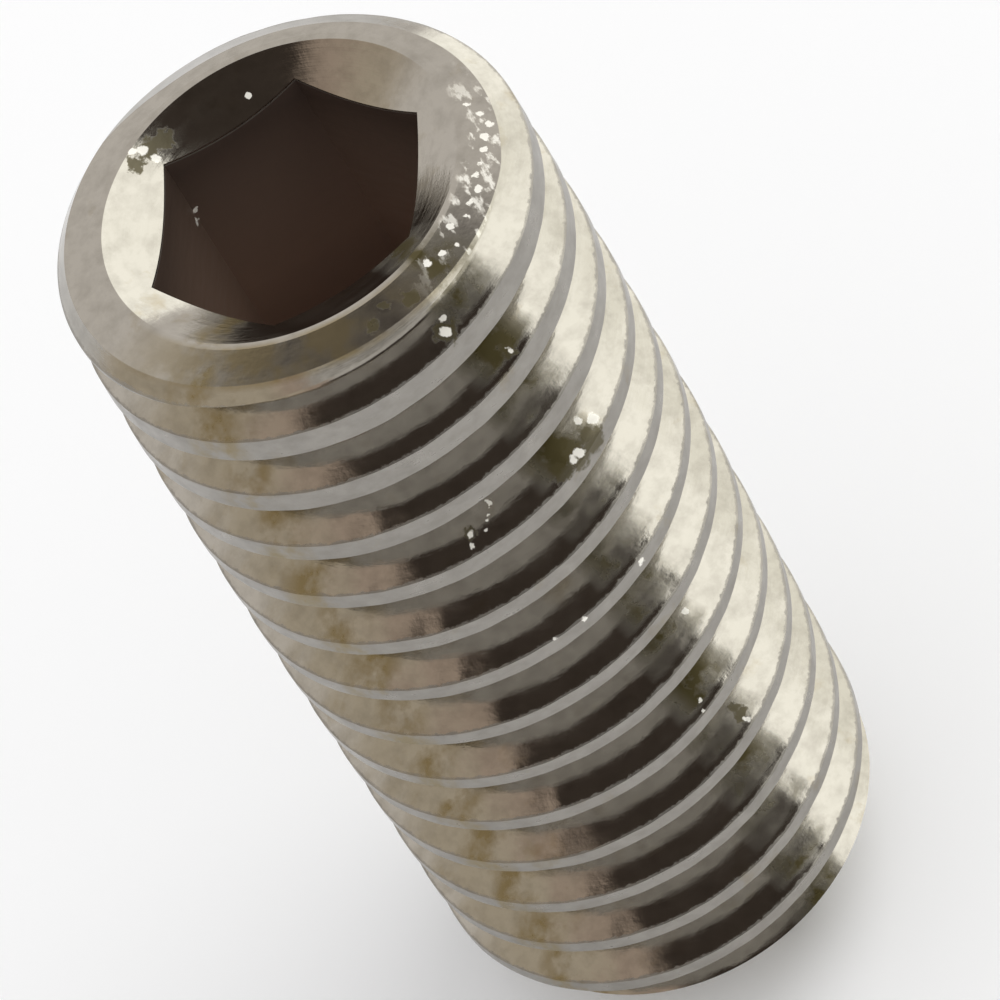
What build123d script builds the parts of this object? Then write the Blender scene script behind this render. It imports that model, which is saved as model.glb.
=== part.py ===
from build123d import *
from math import ceil, cos, radians, sin, sqrt, tan
import os

# Hexagon socket set screw, metric coarse thread, one turned and thread-rolled solid.
# Millimetres. The screw stands on its flat point with the socket up, its axis on Z
# and its origin at the middle of the point.

# ---- driving dimensions ----
length = 12.0             # over all, from the point to the socket end
nominal_dia = 5.0         # thread size, M5
pitch = 0.8               # coarse pitch of that size
thread_angle = 60.0       # between the two flanks
crest_allowance = 0.12    # nominal less the rolled crest diameter, inside the 6g band
pitch_allowance = 0.024   # basic less actual pitch diameter, 6g
root_radius = 0.11        # rounding at the bottom of the groove
thread_start_deg = 264.0  # turn of the thread about Z

point_dia = 2.5           # flat of the point
point_angle = 45.0        # bevel from the point to the crests, from the axis

lead_length = 6.15        # stretch under the socket end where the crests fall away
lead_drop = 0.13          # how far the crest radius has fallen at the socket end

socket_size = 2.55        # hexagon across its flats
socket_depth = 3.0        # hexagon, from the socket end
socket_turn_deg = 2.5     # turn of the hexagon about Z
mouth_lip = 0.293         # countersink's edge outside the hexagon's corners
mouth_angle = 120.0       # countersink, included angle
pilot_margin = 0.15       # hexagon across flats less the drilled hole under it
drill_angle = 118.0       # point of that drilled hole, included angle

land_width = 0.07         # flat ring round the countersink
edge_inset = 0.26         # outer edge of the shallow bevel, inside the crest radius
ring_slope = 14.0         # fall of the shallow bevel from the end plane
edge_slope = 50.0         # fall of the steep bevel outside it

overshoot = 0.06          # how far the cutting shapes stand proud of the blank

# ---- worked out from them ----
flank = radians(thread_angle / 2)
sharp_height = pitch / 2 / tan(flank)
major_r = (nominal_dia - crest_allowance) / 2
pitch_r = (nominal_dia - pitch_allowance) / 2 - sharp_height * 3 / 8
point_r = point_dia / 2
point_height = (major_r - point_r) / tan(radians(point_angle))
corner_r = socket_size / 2 / cos(radians(30))
mouth_r = corner_r + mouth_lip
face_r = mouth_r + land_width
ring_r = major_r - edge_inset
ring_fall = (ring_r - face_r) * tan(radians(ring_slope))


def lead_radius(depth):
    """Crest radius at a depth under the socket end, on the lead's large arc."""
    arc = (lead_length**2 + lead_drop**2) / (2 * lead_drop)
    along = max(lead_length - depth, 0.0)
    return major_r - arc + sqrt(arc**2 - along**2)


def edge_depth():
    """Depth at which the steep bevel meets the lead's arc."""
    depth = ring_fall
    for step in range(30):
        depth = ring_fall + (lead_radius(depth) - ring_r) * tan(radians(edge_slope))
    return depth


def blank():
    """The turned blank: flat point, bevel, straight body, falling lead, bevelled end."""
    edge_z = length - edge_depth()
    lead_z = length - lead_length
    middle_z = (edge_z + lead_z) / 2
    with BuildPart() as turned:
        with BuildSketch(Plane.XZ):
            with BuildLine():
                Polyline((0, 0), (point_r, 0), (major_r, point_height), (major_r, lead_z))
                ThreePointArc(
                    (major_r, lead_z),
                    (lead_radius(length - middle_z), middle_z),
                    (lead_radius(length - edge_z), edge_z),
                )
                Polyline(
                    (lead_radius(length - edge_z), edge_z),
                    (ring_r, length - ring_fall),
                    (face_r, length),
                    (0, length),
                    (0, 0),
                )
            make_face()
        revolve(axis=Axis.Z)
    return turned.part


def groove_section():
    """Section of the groove in the plane of the axis: two flanks and a round bottom."""
    apex_r = pitch_r - sharp_height / 2
    centre_r = apex_r + root_radius / sin(flank)
    tangent_r = centre_r - root_radius * sin(flank)
    tangent_h = root_radius * cos(flank)
    outer_r = major_r + overshoot
    outer_h = (outer_r - apex_r) * tan(flank)
    with BuildSketch(Plane.XZ) as section:
        with BuildLine():
            Line((outer_r, -outer_h), (tangent_r, -tangent_h))
            ThreePointArc(
                (tangent_r, -tangent_h),
                (centre_r - root_radius, 0),
                (tangent_r, tangent_h),
            )
            Polyline((tangent_r, tangent_h), (outer_r, outer_h), (outer_r, -outer_h))
        make_face()
    return section.sketch.face()


def groove_turns():
    """Right-hand groove as single turns end to end, running out past both ends."""
    one_turn = sweep(groove_section(), path=Helix(pitch, pitch, major_r), is_frenet=True)
    one_turn = Rot(0, 0, thread_start_deg) * one_turn
    count = ceil(length / pitch) + 3
    return [Pos(0, 0, (number - 1.5) * pitch) * one_turn for number in range(count)]


def socket():
    """Hexagon, the drilled hole's point under it, and the countersunk mouth."""
    pilot_r = (socket_size - pilot_margin) / 2
    pilot_tip = pilot_r / tan(radians(drill_angle / 2))
    mouth_rise = overshoot / tan(radians(mouth_angle / 2))
    mouth_depth = (mouth_r + overshoot) / tan(radians(mouth_angle / 2))
    tip_down = (Align.CENTER, Align.CENTER, Align.MAX)
    with BuildPart() as tool:
        with BuildSketch(Plane.XY.offset(length - socket_depth)):
            RegularPolygon(corner_r, 6, rotation=socket_turn_deg)
        extrude(amount=socket_depth + overshoot)
        with Locations((0, 0, length - socket_depth)):
            Cone(0, pilot_r, pilot_tip, align=tip_down)
        with Locations((0, 0, length + mouth_rise)):
            Cone(0, mouth_r + overshoot, mouth_depth, align=tip_down)
    return tool.part


set_screw = blank()
for turn in groove_turns():
    set_screw -= turn
set_screw -= socket()

os.makedirs("parts", exist_ok=True)
export_step(set_screw, "parts/set_screw.step")
print("set_screw", round(set_screw.volume, 3), "mm3", len(set_screw.solids()), "solid")
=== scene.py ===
from math import cos, pi, radians, sin, sqrt, tan

import bmesh
import bpy
from mathutils import Matrix, Vector, noise
from mathutils.bvhtree import BVHTree


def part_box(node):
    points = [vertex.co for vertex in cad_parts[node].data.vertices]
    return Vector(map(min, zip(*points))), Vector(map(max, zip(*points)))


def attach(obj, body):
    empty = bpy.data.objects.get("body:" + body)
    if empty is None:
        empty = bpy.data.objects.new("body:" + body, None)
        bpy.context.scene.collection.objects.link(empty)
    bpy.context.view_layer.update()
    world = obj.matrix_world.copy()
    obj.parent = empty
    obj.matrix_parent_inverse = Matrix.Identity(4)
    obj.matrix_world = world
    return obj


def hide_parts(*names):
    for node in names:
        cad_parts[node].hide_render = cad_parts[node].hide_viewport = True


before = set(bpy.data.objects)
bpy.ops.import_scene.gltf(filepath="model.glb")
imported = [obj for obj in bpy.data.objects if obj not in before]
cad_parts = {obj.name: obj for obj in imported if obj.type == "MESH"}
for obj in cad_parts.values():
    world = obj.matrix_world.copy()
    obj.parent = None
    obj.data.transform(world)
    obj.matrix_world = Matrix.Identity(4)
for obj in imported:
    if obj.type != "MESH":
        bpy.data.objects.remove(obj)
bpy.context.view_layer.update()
print("frame loaded:", sorted(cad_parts))

mm = 0.001                    # Blender works in metres, the sizes below are in millimetres
low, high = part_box("set_screw")
screwLength = (high.z - low.z) / mm
crestRadius = (high.x - low.x) / 2 / mm


def hexColour(text):
    # sRGB hex to the linear values that shaders work in
    parts = [int(text[i:i + 2], 16) / 255 for i in (1, 3, 5)]
    linear = [p / 12.92 if p <= 0.04045 else ((p + 0.055) / 1.055) ** 2.4 for p in parts]
    return (*linear, 1.0)


def addNode(tree, kind, links=None, **settings):
    # one node: plain names set its properties, and links fills its sockets from sockets or values
    node = tree.nodes.new(kind)
    for name, value in settings.items():
        setattr(node, name, value)
    for key, value in (links or {}).items():
        if isinstance(value, bpy.types.NodeSocket):
            tree.links.new(value, node.inputs[key])
        else:
            node.inputs[key].default_value = value
    return node


def meshObject(name, bm, material=None):
    # the finished bmesh becomes an object at the origin
    mesh = bpy.data.meshes.new(name)
    bm.to_mesh(mesh)
    bm.free()
    piece = bpy.data.objects.new(name, mesh)
    bpy.context.scene.collection.objects.link(piece)
    if material:
        mesh.materials.append(material)
    return piece


def combine(piece, tool, operation):
    # the Boolean modifier cuts or keeps, then its result becomes the mesh and the tool goes
    modifier = piece.modifiers.new("combine", "BOOLEAN")
    modifier.operation = operation
    modifier.solver = "MANIFOLD"
    modifier.object = tool
    bpy.context.view_layer.update()
    result = bpy.data.meshes.new_from_object(piece.evaluated_get(bpy.context.evaluated_depsgraph_get()))
    piece.modifiers.clear()
    piece.data = result
    bpy.data.objects.remove(tool)


screwSizes = {
    "pitch": 0.8,
    "flankAngle": 30.0,         # each flank, from the plane across the axis
    "pitchRadius": 2.2282,      # where ridge and groove are equally wide
    "rootRadius": 0.11,
    "threadStart": 264.0,       # degrees about the axis, at one and a half pitches under the point
    "pointRadius": 1.25,
    "leadLength": 6.15,         # the crests fall away over this stretch under the socket end
    "leadDrop": 0.13,           # and this is how far they fall
    "socketSize": 2.55,         # across the flats
    "socketDepth": 3.0,
    "socketTurn": 2.5,          # degrees that the hexagon is turned about the axis
    "mouthRadius": 1.765,
    "mouthAngle": 120.0,
    "pilotRadius": 1.2,         # the hole drilled before the hexagon is broached
    "drillAngle": 118.0,
    "faceRadius": 1.835,        # outer radius of the flat land, then of the sloping ring round it
    "ringRadius": 2.18,
    "ringSlope": 14.0,
    "edgeSlope": 50.0,          # the bevel from the ring down to the crests
    "stepsPerTurn": 240,
    "flankRows": 3,
    "rootRows": 7,
    "leadRows": 16,
    "mergeGap": 0.0005,
    "sharpAngle": 10.5,         # facets that meet at more than this stay crisp
    "edgeWaver": 0.022,         # how far the ridge edges wander along the axis
}


def leadRadius(depth):
    # crest radius at a depth under the socket end, on the arc that the crests fall away along
    s = screwSizes
    arc = (s["leadLength"] ** 2 + s["leadDrop"] ** 2) / (2 * s["leadDrop"])
    along = max(s["leadLength"] - depth, 0.0)
    return crestRadius - arc + sqrt(arc * arc - along * along)


def ridgeAndGroove():
    # one pitch of the section, upwards: half a groove bottom, flank, ridge, flank, half a bottom
    s = screwSizes
    slope = tan(radians(s["flankAngle"]))
    apex = s["pitchRadius"] - s["pitch"] / 4 / slope
    centre = apex + s["rootRadius"] / sin(radians(s["flankAngle"]))
    outer = crestRadius + 0.05
    half = []
    for row in range(s["rootRows"] + 1):
        turn = radians(90 - s["flankAngle"]) * row / s["rootRows"]
        half.append((centre - s["rootRadius"] * cos(turn), s["rootRadius"] * sin(turn)))
    startR, startH = half[-1]
    for row in range(1, s["flankRows"] + 1):
        r = startR + (outer - startR) * row / s["flankRows"]
        half.append((r, (r - apex) * slope))
    return half + [(r, s["pitch"] - h) for r, h in reversed(half)]


def spunThread():
    # the section is swept one turn as a screw, and the turn is repeated along the axis
    s = screwSizes
    bm = bmesh.new()
    start = Matrix.Rotation(radians(s["threadStart"]), 4, "Z")
    low = -1.5 * s["pitch"]
    verts = [bm.verts.new(start @ Vector((r, 0, low + h)) * mm) for r, h in ridgeAndGroove()]
    edges = [bm.edges.new(pair) for pair in zip(verts, verts[1:])]
    bmesh.ops.spin(
        bm, geom=verts + edges, cent=(0, 0, 0), axis=(0, 0, 1),
        dvec=(0, 0, s["pitch"] / s["stepsPerTurn"] * mm),
        angle=2 * pi, steps=s["stepsPerTurn"], use_merge=False, use_duplicate=False,
    )
    oneTurn = bm.verts[:] + bm.edges[:] + bm.faces[:]
    for turn in range(1, int(screwLength / s["pitch"]) + 4):
        copy = bmesh.ops.duplicate(bm, geom=oneTurn)["geom"]
        bmesh.ops.translate(
            bm, verts=[v for v in copy if isinstance(v, bmesh.types.BMVert)],
            vec=(0, 0, turn * s["pitch"] * mm),
        )
    bmesh.ops.remove_doubles(bm, verts=bm.verts, dist=s["mergeGap"] * mm)
    for v in bm.verts:
        # the ridge edges waver a little, more towards the crest
        out = max(sqrt(v.co.x ** 2 + v.co.y ** 2) / mm - 2.1, 0.0) / 0.34
        coarse = noise.noise(v.co / (0.9 * mm))
        fine = noise.noise(v.co / (0.22 * mm) + Vector((7, 3, 5)))
        v.co.z += (0.6 * coarse + 0.5 * fine) * s["edgeWaver"] * out * mm
    for height, side in ((-0.3, -1), (screwLength + 0.3, 1)):
        bmesh.ops.bisect_plane(
            bm, geom=bm.verts[:] + bm.edges[:] + bm.faces[:], dist=1e-9,
            plane_co=(0, 0, height * mm), plane_no=(0, 0, side), clear_outer=True,
        )
    bmesh.ops.holes_fill(bm, edges=[e for e in bm.edges if e.is_boundary], sides=0)
    bmesh.ops.recalc_face_normals(bm, faces=bm.faces)
    return meshObject("screw_thread", bm)


def turnedBlank():
    # the bar before threading: point bevel, falling crests, edge bevel and end ring
    s = screwSizes
    ringFall = (s["ringRadius"] - s["faceRadius"]) * tan(radians(s["ringSlope"]))
    edgeFall = ringFall
    for repeat in range(30):
        # the bevel's foot is where its slope meets the falling crests
        edgeFall = ringFall + (leadRadius(edgeFall) - s["ringRadius"]) * tan(radians(s["edgeSlope"]))
    outline = [(0, 0), (s["pointRadius"], 0), (crestRadius, crestRadius - s["pointRadius"])]
    for row in range(s["leadRows"] + 1):
        depth = s["leadLength"] + (edgeFall - s["leadLength"]) * row / s["leadRows"]
        outline.append((leadRadius(depth), screwLength - depth))
    outline += [
        (s["ringRadius"], screwLength - ringFall),
        (s["faceRadius"], screwLength),
        (0, screwLength),
    ]
    bm = bmesh.new()
    verts = [bm.verts.new((r * mm, 0, h * mm)) for r, h in outline]
    edges = [bm.edges.new(pair) for pair in zip(verts, verts[1:])]
    bmesh.ops.spin(
        bm, geom=verts + edges, cent=(0, 0, 0), axis=(0, 0, 1), dvec=(0, 0, 0),
        angle=2 * pi, steps=s["stepsPerTurn"], use_merge=True, use_duplicate=False,
    )
    bmesh.ops.remove_doubles(bm, verts=bm.verts, dist=s["mergeGap"] * mm)
    bmesh.ops.recalc_face_normals(bm, faces=bm.faces)
    return meshObject("screw_blank", bm)


def socketTools():
    # the solids that cut the hexagon, its countersunk mouth and the drill cone under it
    s = screwSizes
    cornerRadius = s["socketSize"] / 2 / cos(radians(30))
    proud = 0.2                 # the cutting tools stand out past the end face
    tools = []
    bm = bmesh.new()
    hexHeight = s["socketDepth"] + proud
    bmesh.ops.create_cone(
        bm, cap_ends=True, segments=6, radius1=cornerRadius * mm, radius2=cornerRadius * mm,
        depth=hexHeight * mm,
    )
    bmesh.ops.rotate(bm, verts=bm.verts, matrix=Matrix.Rotation(radians(s["socketTurn"] + 30), 3, "Z"))
    bmesh.ops.translate(bm, verts=bm.verts, vec=(0, 0, (screwLength + proud - hexHeight / 2) * mm))
    tools.append(meshObject("socket_hexagon", bm))
    for name, radius, angle, top in (
        ("socket_mouth", s["mouthRadius"] + proud, s["mouthAngle"],
         screwLength + proud / tan(radians(s["mouthAngle"] / 2))),
        ("socket_drill", s["pilotRadius"], s["drillAngle"], screwLength - s["socketDepth"] + 0.001),
    ):
        height = radius / tan(radians(angle / 2))
        bm = bmesh.new()
        bmesh.ops.create_cone(
            bm, cap_ends=True, segments=s["stepsPerTurn"], radius1=0, radius2=radius * mm, depth=height * mm,
        )
        bmesh.ops.remove_doubles(bm, verts=bm.verts, dist=s["mergeGap"] * mm)
        bmesh.ops.translate(bm, verts=bm.verts, vec=(0, 0, (top - height / 2) * mm))
        bmesh.ops.recalc_face_normals(bm, faces=bm.faces)
        tools.append(meshObject(name, bm))
    return tools


def makeScrew():
    # the threaded part of the bar is kept, then the socket is cut
    screw = turnedBlank()
    combine(screw, spunThread(), "INTERSECT")
    for tool in socketTools():
        combine(screw, tool, "DIFFERENCE")
    screw.name = "set_screw_metal"
    screw.data.name = "set_screw_metal"
    for face in screw.data.polygons:
        face.use_smooth = True
    screw.data.set_sharp_from_angle(angle=radians(screwSizes["sharpAngle"]))
    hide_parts("set_screw")
    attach(screw, "root")
    print("screw:", len(screw.data.polygons), "faces")
    return screw


steelLook = {
    "plate": "#aaa69f",         # zinc plate, dulled by handling
    "worn": "#938f89",          # crests rubbed matt
    "grime": "#4d4526",         # olive-brown oil and dust
    "khaki": "#87795a",         # stains at random, and painted reflection in patches on the left and on the near part of the end ring
    "socketPaintedShadeLower": "#9c8373",    # painted shade in the socket, lighter deeper down where light reaches the bottom
    "socketPaintedShadeMouth": "#4b3e37",     # painted shade near the mouth, darker
    "soil": "#716c64",          # thin grey dirt all over
    "burrAndGlint": "#f7f4ea",          # torn metal, painted near white as glints
    "roughness": 0.07,
    "mottleMm": 0.55,           # width of the stains
    "crestMatt": 0.40,
    "crestRough": 0.25,
    "socketMatt": 0.70,
    "socketRough": 0.34,
    "reliefMm": 0.014,          # depth of the tool marks
    "reliefStrength": 0.30,
}

# where the metal is marked; azimuths in degrees from the front towards the right, the rest in mm
wear = {
    # azimuth, depth under the socket end, size
    "tears": (
        (16, 0.55, 0.055), (18, 0.50, 0.040), (27, 1.35, 0.040), (-4, 3.00, 0.040), (-5, 3.05, 0.035),
        (37, 2.95, 0.065), (35, 2.90, 0.050), (28, 3.00, 0.060), (26, 3.00, 0.055), (27, 4.70, 0.045),
        (8, 4.70, 0.035), (0, 4.70, 0.030), (34, 6.10, 0.035), (31, 7.80, 0.035),
    ),
    # start and end of each scratch, as azimuth and depth, then its width
    "scratches": (((4, 2.90), (0, 3.00), 0.020), ((23, 7.00), (21, 7.05), 0.022)),
    "scratchSteps": 5,
    "grimePatches": (
        (16, 0.55, 0.13), (27, 1.35, 0.09), (33, 3.00, 0.17), (27, 3.00, 0.16), (22, 3.00, 0.12),
        (-4, 3.00, 0.08), (31, 7.75, 0.10),
    ),
    # azimuth, radius on the end face or in the mouth, size
    "faceTears": ((-148, 1.68, 0.050), (-148, 1.55, 0.050), (-146, 1.75, 0.040), (171, 1.45, 0.030)),
    "faceGrime": (
        (-150, 1.63, 0.13), (-155, 1.60, 0.12), (-143, 1.66, 0.10), (24, 2.04, 0.12), (14, 2.06, 0.09),
        (8, 1.98, 0.07), (2, 2.08, 0.08),
    ),
    # the row of flecks on the end ring, painted near white as glints: from, to, how many, least radius, its
    # spread
    "fleckRow": (24, 80, 14, 1.90, 0.20),
    # azimuth, depth on the socket wall, size
    "socketTears": ((-146, 1.00, 0.045), (-148, 0.90, 0.035)),
}


def markPlaces(screw):
    # each mark's centre is found on the metal itself; gives (centre in mm, size) for tears and for grime
    surface = BVHTree.FromObject(screw, bpy.context.evaluated_depsgraph_get())

    def outwards(azimuth):
        return Vector((sin(radians(azimuth)), -cos(radians(azimuth)), 0))

    def hit(start, way):
        return surface.ray_cast(start * mm, way)[0] / mm

    def onThread(azimuth, depth):
        way = outwards(azimuth)
        return hit(way * 2 * crestRadius + Vector((0, 0, screwLength - depth)), -way)

    def onFace(azimuth, r):
        return hit(outwards(azimuth) * r + Vector((0, 0, screwLength + 1)), Vector((0, 0, -1)))

    def onSocketWall(azimuth, depth):
        return hit(Vector((0, 0, screwLength - depth)), outwards(azimuth))

    tears = [(onThread(azimuth, depth), size) for azimuth, depth, size in wear["tears"]]
    tears += [(onFace(azimuth, r), size) for azimuth, r, size in wear["faceTears"]]
    tears += [(onSocketWall(azimuth, depth), size) for azimuth, depth, size in wear["socketTears"]]
    for start, end, width in wear["scratches"]:
        for step in range(wear["scratchSteps"]):
            share = step / (wear["scratchSteps"] - 1)
            azimuth, depth = Vector(start).lerp(Vector(end), share)
            tears.append((onThread(azimuth, depth), width))
    first, last, count, least, spread = wear["fleckRow"]
    for index in range(count):
        azimuth = first + (last - first) * index / (count - 1)
        r = least + spread * abs(noise.cell(Vector((index + 0.5, 2.5, 7.5))))
        size = 0.030 + 0.016 * abs(noise.cell(Vector((index + 0.5, 5.5, 1.5))))
        tears.append((onFace(azimuth, r), size))
    grime = [(onThread(azimuth, depth), size) for azimuth, depth, size in wear["grimePatches"]]
    grime += [(onFace(azimuth, r), size) for azimuth, r, size in wear["faceGrime"]]
    print("marks:", len(tears), "tears,", len(grime), "patches of grime")
    return tears, grime


def zincPlatedSteel(tears, grime):
    # zinc-plated steel: grey, sharp reflections, crests rubbed matt, oil and dust in the grooves
    look = steelLook
    material = bpy.data.materials.new("zinc_plated_steel_worn")
    material.use_nodes = True
    tree = material.node_tree
    tree.nodes.clear()
    place = addNode(tree, "ShaderNodeTexCoord")
    inMm = addNode(tree, "ShaderNodeMapping", {
        "Vector": place.outputs["Object"], "Scale": (1000, 1000, 1000),
    }).outputs["Vector"]
    flat = addNode(tree, "ShaderNodeMapping", {"Vector": inMm, "Scale": (1, 1, 0)}).outputs["Vector"]
    radius = addNode(tree, "ShaderNodeVectorMath", {0: flat}, operation="LENGTH").outputs["Value"]
    outward = addNode(tree, "ShaderNodeVectorMath", {0: flat}, operation="NORMALIZE").outputs["Vector"]
    height = addNode(tree, "ShaderNodeSeparateXYZ", {"Vector": inMm}).outputs["Z"]

    def maths(operation, first, second):
        return addNode(tree, "ShaderNodeMath", {0: first, 1: second}, operation=operation).outputs[0]

    def ramp(value, start, end, low=0.0, high=1.0):
        return addNode(tree, "ShaderNodeMapRange", {
            "Value": value, "From Min": start, "From Max": end, "To Min": low, "To Max": high,
        }).outputs["Result"]

    def speckle(scale, detail=3.0, stretch=(1, 1, 1), shift=0.0):
        moved = addNode(tree, "ShaderNodeMapping", {
            "Vector": inMm, "Scale": stretch, "Location": (shift, shift, shift),
        })
        return addNode(tree, "ShaderNodeTexNoise", {
            "Vector": moved.outputs["Vector"], "Scale": scale, "Detail": detail, "Roughness": 0.6,
        }).outputs["Fac"]

    def blend(factor, first, second):
        # sockets 0, 6 and 7 are the Mix node's factor and its two colours
        return addNode(tree, "ShaderNodeMix", {0: factor, 6: first, 7: second}, data_type="RGBA").outputs[2]

    def facing(azimuth, width):
        # one towards that azimuth, nothing beyond the width on either side
        way = (sin(radians(azimuth)), -cos(radians(azimuth)), 0)
        dot = addNode(tree, "ShaderNodeVectorMath", {0: outward, 1: way}, operation="DOT_PRODUCT")
        return ramp(dot.outputs["Value"], cos(radians(width)), cos(radians(width * 0.3)))

    def spots(centres, wobble):
        # ragged spots, each at its own place on the metal
        total = 0.0
        for centre, size in centres:
            gap = addNode(tree, "ShaderNodeVectorMath", {0: inMm, 1: centre}, operation="DISTANCE")
            spot = ramp(maths("ADD", gap.outputs["Value"], wobble), size, size * 0.7)
            total = maths("MAXIMUM", total, spot)
        return total

    grain = speckle(14.0, 4.0)
    mottle = speckle(1 / look["mottleMm"], 5.0)
    wobble = ramp(speckle(11.0, 3.0, shift=4.0), 0.3, 0.7, -0.028, 0.028)

    # the crest radius falls away towards the socket end
    s = screwSizes
    along = ramp(height, screwLength - s["leadLength"], screwLength)
    fall = maths("MULTIPLY", maths("MULTIPLY", along, along), s["leadDrop"])
    underCrest = maths("SUBTRACT", maths("SUBTRACT", crestRadius, fall), radius)
    underCrest = maths("ADD", underCrest, ramp(grain, 0.3, 0.7, -0.012, 0.012))
    onCrest = ramp(underCrest, 0.026, 0.012)
    crestPatch = maths("MULTIPLY", onCrest, ramp(speckle(3.0, 4.0, shift=9.0), 0.25, 0.6, 0.55, 1.0))

    # below the cone of the mouth, which reaches its own radius at the end face
    overMouth = maths("ADD", height, maths("MULTIPLY", maths("SUBTRACT", s["mouthRadius"], radius), 0.577))
    # the socket walls, where painted shade goes
    deeper = maths("MULTIPLY", ramp(radius, 1.62, 1.56), ramp(height, 8.0, 8.1))
    deeper = maths("MULTIPLY", deeper, ramp(overMouth, screwLength - 0.01, screwLength - 0.04))
    oilBand = maths("MULTIPLY", facing(26, 12), ramp(mottle, 0.42, 0.58, 0.25, 1.0))
    oilBand = maths("MULTIPLY", oilBand, ramp(underCrest, 0.05, 0.10))
    # painted reflection: khaki patches on the left side of the thread, the warm wall's colour
    khakiReflectionBand = maths("MULTIPLY", facing(-47, 9), ramp(speckle(2.6, 4.0, shift=2.0), 0.42, 0.62))
    stray = ramp(mottle, 0.60, 0.74, 0.0, 0.45)
    # painted reflection: khaki on the near part of the end ring
    onRing = maths("MULTIPLY", ramp(height, 11.86, 11.90), ramp(radius, 1.78, 1.84))
    nearRing = maths("MULTIPLY", facing(-20, 55), ramp(speckle(1.6, 4.0, shift=3.0), 0.38, 0.54, 0.2, 0.9))
    khakiReflectionBand = maths("MAXIMUM", khakiReflectionBand, maths("MULTIPLY", onRing, nearRing))

    # tears and scratches: real marks, painted near white as glints
    burrAndGlint = spots(tears, wobble)
    # painted highlight: bright streaks among the flecks on the right of the end ring
    ringStreakHighlight = maths("MULTIPLY", onRing, facing(57, 42))
    ringStreakHighlight = maths("MULTIPLY", ringStreakHighlight, ramp(speckle(5.5, 4.0, (1.6, 0.7, 1.0), 8.0), 0.55, 0.63, 0.0, 0.85))
    burrAndGlint = maths("MAXIMUM", burrAndGlint, ringStreakHighlight)
    rim = maths("MULTIPLY", spots(grime, maths("MULTIPLY", wobble, 2.0)), 0.85)
    soil = ramp(speckle(5.0, 6.0, (1.0, 1.0, 1.6), 6.0), 0.42, 0.75, 0.0, 0.36)

    colour = blend(crestPatch, hexColour(look["plate"]), hexColour(look["worn"]))
    colour = blend(soil, colour, hexColour(look["soil"]))
    colour = blend(stray, colour, hexColour(look["khaki"]))
    colour = blend(khakiReflectionBand, colour, hexColour(look["khaki"]))
    colour = blend(oilBand, colour, hexColour(look["grime"]))
    # painted shade in the socket: darkest near the mouth, lighter deeper in where light reaches the bottom
    socketPaintedShade = blend(ramp(height, 11.6, 9.8), hexColour(look["socketPaintedShadeMouth"]), hexColour(look["socketPaintedShadeLower"]))
    colour = blend(deeper, colour, socketPaintedShade)
    colour = blend(rim, colour, hexColour(look["grime"]))
    colour = blend(burrAndGlint, colour, hexColour(look["burrAndGlint"]))

    # dirt, torn metal with its painted glints, the painted reflection and the socket's painted shade mirror
    # less than clean plate
    metallic = maths("SUBTRACT", 1.0, maths("MULTIPLY", crestPatch, look["crestMatt"]))
    metallic = maths("SUBTRACT", metallic, maths("MULTIPLY", deeper, look["socketMatt"]))
    metallic = maths("MULTIPLY", metallic, ramp(oilBand, 0.0, 1.0, 1.0, 0.55))
    metallic = maths("MULTIPLY", metallic, ramp(khakiReflectionBand, 0.0, 1.0, 1.0, 0.7))
    metallic = maths("MULTIPLY", metallic, ramp(rim, 0.0, 1.0, 1.0, 0.5))
    metallic = maths("MULTIPLY", metallic, ramp(burrAndGlint, 0.0, 1.0, 1.0, 0.15))

    # rolling leaves the flanks smooth in bands; matt places add to their roughness
    rubbed = ramp(speckle(2.0, 6.0, (1.0, 1.0, 5.0)), 0.35, 0.75, look["roughness"], look["roughness"] + 0.14)
    rough = maths("ADD", rubbed, maths("MULTIPLY", crestPatch, look["crestRough"]))
    rough = maths("ADD", rough, maths("MULTIPLY", deeper, look["socketRough"]))
    rough = maths("ADD", rough, maths("MULTIPLY", maths("MAXIMUM", oilBand, rim), 0.2))

    streaks = speckle(3.0, 5.0, (0.5, 0.5, 7.0), 1.0)
    # rolling streaks on the thread, turned rings on the end face and in the mouth
    onThread = ramp(radius, 1.80, 1.88)
    acrossFace = addNode(tree, "ShaderNodeCombineXYZ", {0: radius})
    turned = addNode(tree, "ShaderNodeTexNoise", {
        "Vector": acrossFace.outputs["Vector"], "Scale": 16.0, "Detail": 4.0, "Roughness": 0.7,
    }).outputs["Fac"]
    marks = maths("ADD", maths("MULTIPLY", maths("MULTIPLY", streaks, onThread), 0.3),
                  maths("MULTIPLY", maths("MULTIPLY", turned, maths("SUBTRACT", 1.0, onThread)), 0.35))
    relief = maths("ADD", marks, maths("MULTIPLY", grain, 0.22))
    bump = addNode(tree, "ShaderNodeBump", {
        "Height": relief, "Strength": look["reliefStrength"], "Distance": look["reliefMm"] * mm,
    })
    metal = addNode(tree, "ShaderNodeBsdfPrincipled", {
        "Base Color": colour, "Metallic": metallic, "Roughness": rough, "Normal": bump.outputs["Normal"],
    })
    addNode(tree, "ShaderNodeOutputMaterial", {"Surface": metal.outputs["BSDF"]})
    return material


def paleFloor():
    # white paper: matt, and a shade off white
    material = bpy.data.materials.new("white_paper_sweep")
    material.use_nodes = True
    shader = material.node_tree.nodes["Principled BSDF"]
    shader.inputs["Base Color"].default_value = hexColour("#fafafa")
    shader.inputs["Roughness"].default_value = 0.8
    return material


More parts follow.
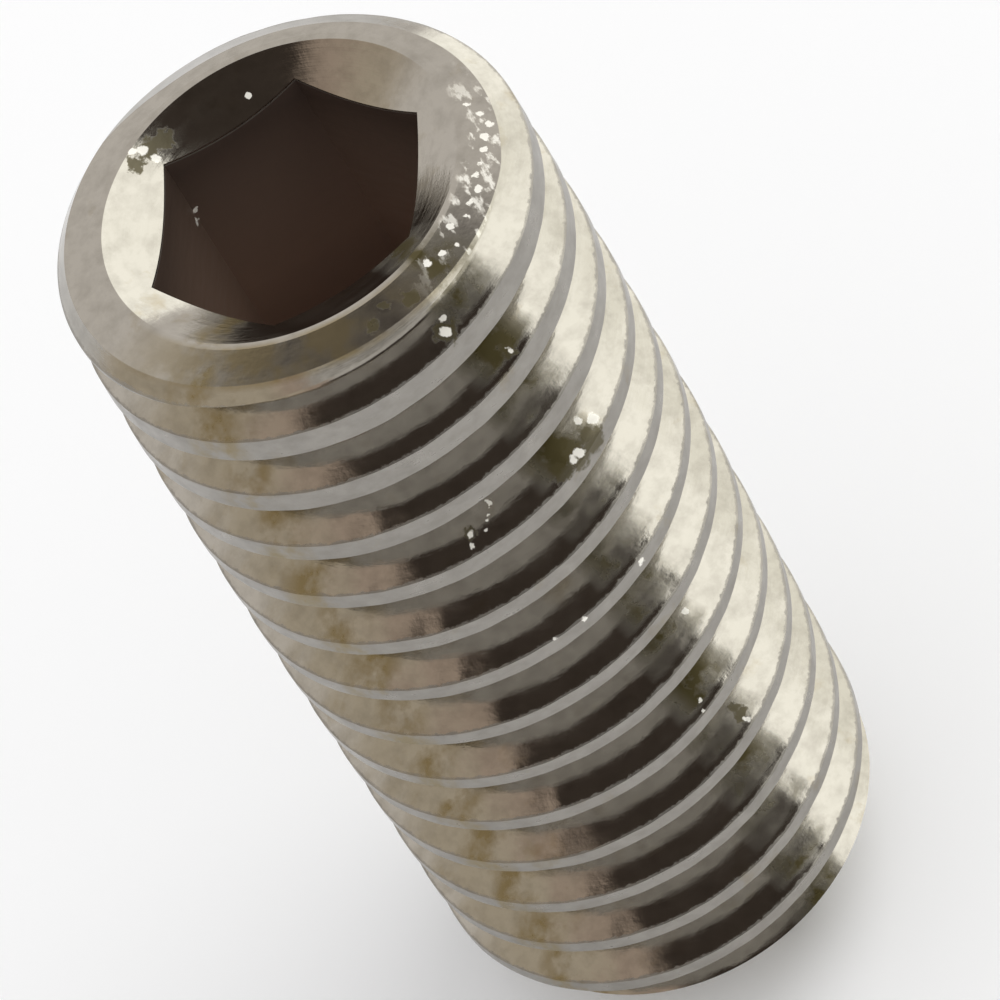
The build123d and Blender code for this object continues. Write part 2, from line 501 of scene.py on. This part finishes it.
studio = {
    "aim": (0.26, 0.0, 6.67),   # mm, the point that the camera looks at
    "distance": 57.05,          # mm
    "elevation": 48.64,
    "azimuth": -0.43,           # degrees round from the front
    "roll": 31.33,
    "lens": 207.0,
    # the room that the metal mirrors, in linear colour
    "ceiling": (0.070, 0.055, 0.045, 1),
    "backWall": (1.00, 0.96, 0.91, 1),
    "lowWall": (0.80, 0.78, 0.74, 1),
    "warmWall": (0.62, 0.50, 0.41, 1),
    "paleWall": (0.71, 0.63, 0.50, 1),
    "window": (2.15, 2.15, 2.02, 1),
    "windowSide": (1.72, 1.71, 1.55, 1),
    "softLight": (0.80, 0.80, 0.81, 1),    # what matt surfaces receive
    "lampPlace": (0.22, 0.06, 0.34),       # metres
    "lampSize": 0.30,
    "lampWatts": 0.45,
    "floorRadius": 0.6,
}


def makeCamera():
    s = studio
    data = bpy.data.cameras.new("camera")
    data.type = "PERSP"
    data.lens = s["lens"]
    data.sensor_width = 36
    data.clip_start = 0.001
    data.clip_end = 20
    camera = bpy.data.objects.new("camera", data)
    bpy.context.scene.collection.objects.link(camera)
    turn = Matrix.Rotation(radians(s["azimuth"]), 4, "Z")
    tilt = Matrix.Rotation(radians(90 - s["elevation"]), 4, "X")
    roll = Matrix.Rotation(radians(-s["roll"]), 4, "Z")
    back = Matrix.Translation((0, 0, s["distance"] * mm))
    camera.matrix_world = Matrix.Translation(Vector(s["aim"]) * mm) @ turn @ tilt @ roll @ back
    bpy.context.scene.camera = camera
    return camera


def makeWorld():
    # a room by direction only: dark above, walls all round, a window on the right
    world = bpy.data.worlds.new("studio")
    bpy.context.scene.world = world
    world.use_nodes = True
    tree = world.node_tree
    tree.nodes.clear()
    direction = addNode(tree, "ShaderNodeTexCoord")
    axes = addNode(tree, "ShaderNodeSeparateXYZ", {"Vector": direction.outputs["Generated"]})

    def step(axis, start, end):
        return addNode(tree, "ShaderNodeMapRange", {
            "Value": axes.outputs[axis], "From Min": start, "From Max": end, "To Min": 0.0, "To Max": 1.0,
        }, interpolation_type="SMOOTHSTEP").outputs["Result"]

    def blend(factor, first, second):
        # sockets 0, 6 and 7 are the Mix node's factor and its two colours
        return addNode(tree, "ShaderNodeMix", {0: factor, 6: first, 7: second}, data_type="RGBA").outputs[2]

    s = studio
    room = blend(step("Z", 0.50, 0.64), s["lowWall"], s["ceiling"])
    room = blend(step("Y", 0.27, 0.52), room, s["backWall"])
    left = blend(step("X", -0.56, -0.70), s["warmWall"], s["paleWall"])
    room = blend(step("X", -0.42, -0.52), room, blend(step("Y", 0.35, 0.65), left, s["backWall"]))
    room = blend(step("X", 0.44, 0.48), room, blend(step("X", 0.66, 0.76), s["window"], s["windowSide"]))
    rays = addNode(tree, "ShaderNodeLightPath")
    soft = blend(rays.outputs["Is Diffuse Ray"], room, s["softLight"])
    seen = blend(rays.outputs["Is Camera Ray"], soft, (1, 1, 1, 1))
    background = addNode(tree, "ShaderNodeBackground", {"Color": seen, "Strength": 1.0})
    addNode(tree, "ShaderNodeOutputWorld", {"Surface": background.outputs["Background"]})


def makeLamp():
    data = bpy.data.lights.new("soft_box", "AREA")
    data.shape = "DISK"
    data.size = studio["lampSize"]
    data.energy = studio["lampWatts"]
    lamp = bpy.data.objects.new("soft_box", data)
    bpy.context.scene.collection.objects.link(lamp)
    lamp.location = studio["lampPlace"]
    towards = Vector((0, 0, screwLength / 2 * mm)) - lamp.location
    lamp.rotation_euler = towards.to_track_quat("-Z", "Y").to_euler()
    lamp.visible_glossy = False


def makeFloor():
    bm = bmesh.new()
    bmesh.ops.create_circle(bm, cap_ends=True, segments=96, radius=studio["floorRadius"])
    floor = meshObject("floor", bm, paleFloor())
    return floor


bpy.context.scene.view_settings.view_transform = "Standard"
makeCamera()
makeWorld()
makeFloor()
makeLamp()
print("studio ready")

screw = makeScrew()
steel = zincPlatedSteel(*markPlaces(screw))
screw.data.materials.clear()
screw.data.materials.append(steel)
print("steel ready")
